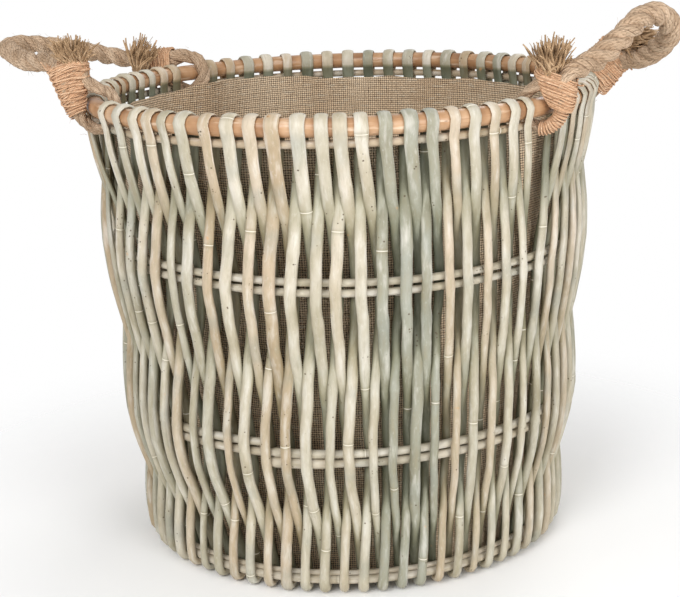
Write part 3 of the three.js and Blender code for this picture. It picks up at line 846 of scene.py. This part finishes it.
def cup(count, rows):
    """A straight round cup of radius 200 and height 400, with rows of faces in its wall and bottom."""
    liner = new_mesh(
        bpy.ops.mesh.primitive_cylinder_add, "sackcloth_liner", vertices=count, radius=0.2, depth=0.4,
        end_fill_type="NOTHING", location=(0, 0, 0.2))
    edit_upright_edges(liner, 0.3)
    bpy.ops.mesh.subdivide(number_cuts=rows - 1)
    bpy.ops.mesh.select_all(action="DESELECT")
    set_mode("OBJECT")
    for vertex in liner.data.vertices:
        vertex.select = vertex.co.z < 1e-4
    for edge in liner.data.edges:
        edge.select = all(liner.data.vertices[v].select for v in edge.vertices)
    set_mode("EDIT")
    for size in [0.92, 0.9, 0.87, 0.84, 0.8, 0.74, 0.64, 0.45]:
        bpy.ops.mesh.extrude_edges_move()
        bpy.ops.transform.resize(value=(size, size, 1), center_override=(0, 0, 0))
    bpy.ops.mesh.edge_face_add()
    bpy.ops.mesh.poke()
    set_mode("OBJECT")
    return liner


def add_liner():
    liner = cup(360, 64)
    x, y, height = coordinates(liner).T / MM
    flat_radius = np.hypot(x, y)
    azimuth = np.degrees(np.arctan2(y, x))
    a = np.radians(azimuth)
    wall = flat_radius > 199
    z = LINER_BOTTOM + height / 400 * (LINER_TOP - LINER_BOTTOM)
    radius = np.interp(z, *zip(*LINER_LEVELS))
    # Soft folds, small puckers, a hump at the left back and the push of the eyes
    soft = (np.sin(7 * a + 1.3) + np.sin(11 * a + 0.4 + z / 90) + np.sin(19 * a + z / 50)) / 3
    small = (np.sin(43 * a + z / 17) + np.sin(61 * a - z / 23)) / 2
    hump = np.exp(-((azimuth - 138) / 26) ** 2)
    push = beside_eyes(azimuth)
    ramp = np.clip((z - 350) / 67, 0, 1)
    radius = radius - 1.0 - 6 * hump * ramp - 1.3 * (soft + 1) * np.clip((z - 40) / 80, 0, 1)
    radius = radius - 0.35 * (small + 1) - 9 * push * ramp
    lip = np.clip((z - 395) / 22, 0, 1)
    z = z + (9 * hump - 5 * push * (1 - hump)) * lip
    z = z + 0.9 * np.sin(13 * a) * lip + 0.6 * np.sin(29 * a + 1) * lip
    radius = np.where(wall, radius, flat_radius * (186.0 / 200))
    z = np.where(wall, z, LINER_BOTTOM)
    points = np.column_stack([radius * np.cos(a), radius * np.sin(a), z]) * MM
    move_to(liner, points)
    at = corners(liner)
    uv = np.column_stack([unrolled(liner, a) * CLOTH_RADIUS, points[at, 2]])
    for face in liner.data.polygons:
        own = list(face.loop_indices)
        if not all(wall[at[own]]):
            uv[own] = points[at[own], :2]
    write_uv(liner, uv)
    face_outward(liner)
    modify(liner, "SOLIDIFY", thickness=0.0016, offset=-1)
    soften(liner)
    dress(liner, SACKCLOTH, "liner")


# Rope handles: the line of each rope is worked out as the solids have it

HANDLES = {"left": (180.0, 33.0), "right": (-7.0, 22.0)}
STOUT = {"left": 1.0, "right": 1.1}
EYES = {
    "left_rear": dict(
        handle="left", end=-1, half=33.0, turn=-6, side=1, loose=0, whip=(14, 42), grow=(0, 16), low=0,
        tail=[[40, -28, 20], [45, -18, 19], [47, -7, 13], [42, 0, 0]], legs=[14, 30, 47], slant=2.0,
        tuft=(40, 16, 1.1)),
    "left_front": dict(
        handle="left", end=1, half=33.0, turn=68, side=-1, loose=0.5, whip=(2, 52), grow=(12, 40), low=0,
        tail=[[64, 3, 0], [56, 0, 0], [44, 0, 0]], legs=[14, 42], slant=-5.0, tuft=(30, 20, 1.1)),
    "right_front": dict(
        handle="right", end=-1, half=23.8, turn=76, side=-1, loose=0.5, whip=(3, 33), grow=(0, 24), low=28,
        tail=[[48, 2, 0], [42, 1, 0], [34, 0, 0]], legs=[14, 34], slant=3.0, tuft=(36, 19, 1.1)),
    "right_rear": dict(
        handle="right", end=1, half=22.0, turn=50, side=-1, loose=0.5, whip=(6, 46), grow=(0, 20), low=0,
        tail=[[68, -24, -18], [61, -14, -13], [53, -5, -6], [44, 0, 0]], legs=[14, 38], slant=2.0,
        tuft=(38, 17, 1.2)),
}
BIGHTS = {
    "left": [
        [80.5, -110, 21.5], [98, -85, 29.5], [124, -50, 39], [142.5, -22, 43.5], [142.9, 4, 42.3],
        [125.8, 30, 40.3], [98, 60, 36], [58, 88, 37.5]],
    "right": [
        [43.4, -72, 39], [60, -52, 54.4], [72.7, -30, 68.7], [86.2, -4, 70.2], [93, 20, 54.5],
        [80.5, 44, 36.7], [61, 66, 24.5]],
}


def handle_point(handle, out, along, up):
    middle, half = (math.radians(v) for v in HANDLES[handle])
    reach = RIM_RADIUS * math.cos(half) + out
    return np.array([reach * math.cos(middle) - along * math.sin(middle),
                     reach * math.sin(middle) + along * math.cos(middle), RIM_Z + up])


class Eye:
    """A rope eye in its own frame: s out along the two strands, off across them, lat along the hoop."""

    def __init__(self, sizes):
        adjust(self, sizes)
        own, shared = math.radians(self.half), math.radians(HANDLES[self.handle][1])
        self.along = self.end * RIM_RADIUS * math.sin(own)
        aside = RIM_RADIUS * (math.cos(shared) - math.cos(own))
        self.out = -0.4 * aside
        tight = (RIM_WIRE + EYE_PRESSED + 0.4) / math.cos(own) + 5.0 * math.tan(own) ** 2
        self.tight = tight + 0.35 * aside
        self.wide = self.tight + self.loose
        self.near = -self.wide + ROPE_SPACING

    def place(self, s, off, lat):
        c, n = circle(self.turn)
        across = -off * self.side
        return handle_point(self.handle, self.out + s * c - across * n, self.along + lat, s * n + across * c)

    def stations(self):
        out = [(s, self.near + off, lat, ROPE_BOUND) for s, off, lat in self.tail]
        start, bend = np.array([34, self.near]), np.array([24, self.near])
        meet = self.tight * circle(35)
        for t in (0, 0.36, 0.7):
            s, off = start * (1 - t) ** 2 + bend * 2 * t * (1 - t) + meet * t * t
            out.append((s, off, 0, ROPE_BOUND + (EYE_PRESSED - ROPE_BOUND) * t))
        for degrees in np.linspace(35, 270, 10):
            reach = self.tight + (self.wide - self.tight) * max(0, (degrees - 180) / 90)
            out.append((*(reach * circle(degrees)), 0, EYE_PRESSED))
        out += [(s, -self.wide, 0, ROPE_BOUND) for s in self.legs]
        return [(self.place(s, off, lat), half) for s, off, lat, half in out]

    def local(self, points):
        origin = self.place(0, 0, 0)
        axes = np.array([self.place(*v) - origin for v in ((1, 0, 0), (0, 1, 0), (0, 0, 1))])
        return (np.asarray(points) - origin) @ axes.T


def rope_line(handle, first, last):
    """Points, pressed half thickness and section axes, evenly spaced along a handle's rope."""
    one, two = first.stations(), last.stations()[::-1]
    middle = [(handle_point(handle, *p), ROPE_RADIUS) for p in BIGHTS[handle]]
    points, halves = zip(*one, *middle, *two)
    steps = 8
    fine = smooth(points, steps)
    at = np.arange(len(fine)) / steps
    half = np.interp(at, np.arange(len(halves)), halves)
    mark = np.interp(at, [0, len(one) - 1, len(one) + len(middle), len(points) - 1], [0, 0, 1, 1])
    line, half, mark = resampled(fine, ROPE_STEP, half, mark)
    along = directions(line)
    hoop = handle_point(handle, 0, 1, 0) - handle_point(handle, 0, 0, 0)
    across = [np.cross(hoop, along[0])]
    for t in along:
        across.append(unit(across[-1] - t * np.dot(across[-1], t)))
    across = np.array(across[1:])
    wanted = unit(np.cross(hoop, along[-1]))
    turn = math.atan2(np.dot(np.cross(across[-1], wanted), along[-1]), np.dot(across[-1], wanted))
    angle = (turn * mark)[:, None]
    x = across * np.cos(angle) + np.cross(along, across) * np.sin(angle)
    return line, half, x, np.cross(along, x)


def straight_strand(length):
    """One strand of a rope, beside the rope's middle and still untwisted. Its UV map runs round and up."""
    strand = new_mesh(
        bpy.ops.mesh.primitive_cylinder_add, "strand", vertices=16, radius=STRAND_RADIUS * MM,
        depth=length * MM, end_fill_type="NGON", location=(STRAND_OFF * MM, 0, length * MM / 2))
    edit_upright_edges(strand, length * MM / 2)
    bpy.ops.mesh.subdivide(number_cuts=int(length / 2.6))
    set_mode("OBJECT")
    x, y, z = coordinates(strand).T
    turn = np.arctan2(y, x - STRAND_OFF * MM)
    write_uv(strand, np.column_stack([unrolled(strand, turn) * STRAND_RADIUS * MM, z[corners(strand)]]))
    return strand


def laid_rope(name, line, half, x, y, stout):
    """Three strands, modelled straight and twisted, then laid along the line."""
    length = ROPE_STEP * (len(line) - 1)
    strand = straight_strand(length)
    turn = 2 * math.pi * length / ROPE_LAY
    modify(strand, "SIMPLE_DEFORM", deform_method="TWIST", deform_axis="Z", angle=turn)
    strands = [strand]
    for k in (1, 2):
        copy = own_copy(strand)
        copy.rotation_euler[2] = 2 * math.pi * k / 3
        pick(copy)
        bpy.ops.object.transform_apply()
        strands.append(copy)
    for k, piece in enumerate(strands):
        give_shade(piece, 0.2 + 0.3 * k)
    rope = join(strands, name)
    points = coordinates(rope) / MM
    at = np.clip(points[:, 2], 0, length) / ROPE_STEP
    index = np.minimum(at.astype(int), len(line) - 2)
    share = (at - index)[:, None]

    def read(values):
        values = values if values.ndim > 1 else values[:, None]
        return values[index] * (1 - share) + values[index + 1] * share

    press = read(half) / ROPE_RADIUS
    girth = np.minimum(1, 0.45 + 0.6 * press) * stout
    thick = press + (stout - 1) * np.clip((press - 0.8) / 0.2, 0, 1)
    laid = read(line) + read(x) * points[:, :1] * thick + read(y) * points[:, 1:2] * girth
    move_to(rope, laid * MM)
    face_outward(rope)
    soften(rope)
    return rope


def split_eye(eye, line):
    """The rope's points in the eye's frame: the tail up to the far side of the hoop, and the leg after it."""
    local = eye.local(line)
    turn = int(np.argmin(np.where(np.abs(local[:, 2]) < 40, local[:, 0], 1e9)))
    after = local[turn:]
    stop = int(np.argmax(after[:, 0] > 60)) or len(after)
    return local, turn, turn + stop


def strand_at(strand, s):
    strand = strand[np.argsort(strand[:, 0])]
    return np.array([np.interp(s, strand[:, 0], strand[:, k]) for k in (1, 2)])


def clear_of_hoop(point):
    """Twine that would run inside the top hoop is laid on the hoop instead."""
    about = math.hypot(point[0], point[1])
    out, up = about - RIM_RADIUS, point[2] - RIM_Z
    room = RIM_WIRE + TWINE_RADIUS + 1.8
    grow = max(1.0, room / max(math.hypot(out, up), 0.001))
    wide = (RIM_RADIUS + out * grow) / about
    return np.array([point[0] * wide, point[1] * wide, RIM_Z + up * grow])


def low_turns(rng, eye, rope, foot, lift, pitch):
    """Twine wound round the rope alone, below the two strands and tight against the hoop."""
    line, half, x, y = rope
    points = []
    for i in np.arange(foot - eye.low / ROPE_STEP, foot, pitch / 40):
        angle = (foot - i) * ROPE_STEP / pitch * 2 * math.pi
        k = int(i)
        wide = TWINE_RADIUS * 0.9 + lift + rng.uniform(0, 0.15)
        outside = math.cos(angle) * np.dot(x[k], line[k] - eye.place(0, 0, 0)) > 0
        points.append(line[k] + (line[k + 1] - line[k]) * (i - k)
                      + x[k] * (half[k] + (wide if outside else -0.7)) * math.cos(angle)
                      + y[k] * (7.2 + wide) * math.sin(angle))
    return points


def turns(rng, eye, leg, tail, first, last, lift, pitch, lean):
    """Twine wound round the leg, and from the eye's grow range on round the leg and the tail together."""
    points = []
    s, k = float(first), 0
    while s < last:
        share = np.clip((s - eye.grow[0]) / (eye.grow[1] - eye.grow[0]), 0, 1)
        leg_at, tail_at = strand_at(leg, s), strand_at(tail, max(s, 24.0))
        far = leg_at + (tail_at - leg_at) * share
        reach = ROPE_BOUND + TWINE_RADIUS * 0.9 + lift + rng.uniform(0, 0.5)
        for step in range(16):
            angle = math.radians(180 + 22.5 * step)
            c, n = math.cos(angle), math.sin(angle)
            centre = far if c > 0 else leg_at
            along = s + pitch * step / 16 + lean[k] * math.sin(angle + 0.6) + eye.slant * share * c
            points.append(eye.place(along, centre[0] + reach * c, centre[1] + (reach - 0.5) * n))
        s += pitch * rng.uniform(0.85, 1.15)
        k += 1
    return points


def whipping(name, eye, rope, body):
    """Three layers of twine round the strands of an eye, each crossing the one below it."""
    rng = np.random.default_rng(len(name))
    local, turn, stop = split_eye(eye, rope[0])
    tail, leg = local[:turn + 1], local[turn:stop]
    start, end = eye.whip
    foot = turn + int(np.argmax(leg[:, 0] > start))
    layers = [(0.0, 1.6, 1.5, start, end), (1.3, 2.3, 6.0, start + 3, end - 5),
              (2.1, 5.5, -8.0, start + 9, end - 8)]
    lines = []
    for layer, (lift, pitch, slant, first, last) in enumerate(layers):
        lean = wander(rng, np.arange(200.0), slant, (9, 17, 31)) + slant * 0.4
        low = low_turns(rng, eye, rope, foot, lift, pitch) if eye.low and layer < 2 else []
        points = low + turns(rng, eye, leg, tail, first, last, lift, pitch, lean)
        if layer == 1:
            away = unit(points[-1] - points[-3])
            points += [points[-1] + away * 5 + [0, 0, 1.5], points[-1] + away * 10 + [0, 0, 4]]
        points = [clear_of_hoop(point) for point in points]
        lines.append(resampled(smooth(points, 2), 2.2))
    piece = drawn(name, [(p, np.full(len(p), TWINE_RADIUS)) for p in lines], 8)
    dress(piece, TWINE, name.replace("_wound", ""), body=body, shade=0.5)


def tuft(name, eye, line, body, seed):
    """The frayed end of a rope: yarns that leave the whipping together and spring apart."""
    rng = np.random.default_rng(seed)
    local, _, _ = split_eye(eye, line)
    length, spread, weight = eye.tuft
    yarns, bundle = 170, 8.6
    tail = local[12::-1]
    run = distances(tail)
    onward = unit(tail[-1] - tail[-4])
    one = unit(np.cross(onward, [0.0, 0.0, 1.0]))
    other = np.cross(onward, one)
    lines = []
    for _ in range(yarns):
        angle = rng.uniform(0, 2 * math.pi)
        begin = math.sqrt(rng.uniform(0, 1)) * bundle
        finish = begin * spread / bundle * rng.uniform(0.8, 1.25)
        reach = length * rng.uniform(0.66, 1.04) * (1 - 0.22 * (begin / bundle) ** 2)
        swirl = rng.uniform(-0.9, 0.9)
        bend = rng.normal(0, 2.4, 3)
        points = []
        for t in np.linspace(0, 1, 7):
            at = t * reach
            centre = np.array([np.interp(at, run, tail[:, j]) for j in range(3)])
            centre = centre + onward * max(0, at - run[-1])
            out = begin + (finish - begin) * t ** 1.4
            turned = angle + swirl * t
            aside = out * (one * math.cos(turned) + other * math.sin(turned))
            points.append(eye.place(*(centre + aside + bend * t * t + rng.normal(0, 0.4, 3) * t)))
        points = smooth(points, 2)
        thick = 0.35 if rng.uniform(0, 1) < 0.3 else rng.uniform(0.65, 1.1) * weight
        lines.append((points, thick * (1 - 0.35 * np.linspace(0, 1, len(points)) ** 3)))
    piece = drawn(name, lines, 6)
    dress(piece, FRAY, body=body, shade=0.4)


def stray_fibres(name, line, x, y, body, seed):
    """Short loose hairs that stand off the rope."""
    rng = np.random.default_rng(seed)
    hairs = 150
    lines = []
    along = directions(line)
    for _ in range(hairs):
        i = rng.integers(6, len(line) - 6)
        angle = rng.uniform(0, 2 * math.pi)
        out = x[i] * math.cos(angle) + y[i] * math.sin(angle)
        side = along[i] * rng.choice([-1, 1]) + np.cross(along[i], out) * rng.uniform(-0.6, 0.6)
        reach = rng.uniform(4, 11)
        rise = rng.uniform(0.15, 0.6)
        points = [line[i] + out * (8.4 + rise * reach * t ** 1.5) + side * reach * t + rng.normal(0, 0.2, 3)
                  for t in np.linspace(0, 1, 5)]
        lines.append((points, 0.14 * (1 - 0.6 * np.linspace(0, 1, 5))))
    piece = drawn(name, lines, 4)
    dress(piece, FRAY, body=body, shade=0.8)


def add_handles():
    for side, one, other in (("left", "left_rear", "left_front"), ("right", "right_front", "right_rear")):
        first, last = Eye(EYES[one]), Eye(EYES[other])
        rope = rope_line(side, first, last)
        back = [values[::-1] for values in rope]
        line, _, x, y = rope
        body = f"{side}_handle"
        piece = laid_rope(f"{side}_laid_rope", *[values[9:-9] for values in rope], STOUT[side])
        dress(piece, ROPE, f"{side}_rope", body=body)
        whipping(f"{one}_whipping_wound", first, rope, body)
        whipping(f"{other}_whipping_wound", last, back, body)
        stray_fibres(f"{side}_stray_fibres", line, x, y, body, 5 + len(side))
        tuft(f"{one}_tuft", first, line, body, 11 + len(one))
        tuft(f"{other}_tuft", last, line[::-1], body, 12 + len(other))


# Floor and light

def add_studio():
    floor = new_mesh(bpy.ops.mesh.primitive_circle_add, "floor", vertices=96, radius=6, fill_type="NGON")
    f = Finish("pale_floor", 0.9)
    f.colour((254, 254, 254))
    place = f.add("ShaderNodeTexCoord").outputs["Object"]
    distance = f.add("ShaderNodeVectorMath", {0: place}, operation="LENGTH").outputs["Value"]
    rays = f.add("ShaderNodeLightPath").outputs
    seen = f.sums("MAXIMUM", rays["Is Camera Ray"], rays["Is Glossy Ray"])
    seen = f.sums("MAXIMUM", seen, rays["Is Transmission Ray"])
    clear = f.add("ShaderNodeBsdfTransparent")
    fade = f.times(f.between(distance, 0.24, 0.62), seen)
    blend = f.add("ShaderNodeMixShader", {0: fade, 1: f.shader.outputs[0], 2: clear.outputs[0]})
    f.put(blend.outputs[0], f.tree.nodes["Material Output"].inputs[0])
    floor.data.materials.append(f.material)
    world = bpy.data.worlds.new("studio")
    bpy.context.scene.world = world
    world.use_nodes = True
    w = Nodes(world.node_tree)
    room = w.tree.nodes["Background"]
    w.put((255, 255, 255), room.inputs[0])
    w.put(0.57, room.inputs[1])
    white = w.add("ShaderNodeBackground", {0: (255, 255, 255), 1: 1.0})
    rays = w.add("ShaderNodeLightPath").outputs
    either = w.sums("MAXIMUM", rays["Is Camera Ray"], rays["Is Transmission Ray"])
    mix = w.add("ShaderNodeMixShader", {0: either, 1: room.outputs[0], 2: white.outputs[0]})
    w.put(mix.outputs[0], w.tree.nodes["World Output"].inputs[0])
    lamps = [
        ("key", (-0.6, -2.7, 2.0), 1.5, 49.0),
        ("fill", (2.2, -2.0, 1.1), 1.6, 38.0),
        ("back", (0.6, 2.4, 2.2), 1.8, 22.0),
    ]
    for name, place, size, power in lamps:
        data = bpy.data.lights.new(name, "AREA")
        lamp = add_object(name, adjust(data, dict(shape="DISK", size=size, energy=power)))
        lamp.location = place
        x, y, z = np.array([0, 0, 0.25]) - place
        lamp.rotation_euler = (math.atan2(math.hypot(x, y), -z), 0, math.atan2(y, x) - math.pi / 2)
    bpy.context.scene.view_settings.view_transform = "Standard"


add_rods()
add_hoops()
add_base()
add_liner()
add_handles()
add_studio()
clear_selection()
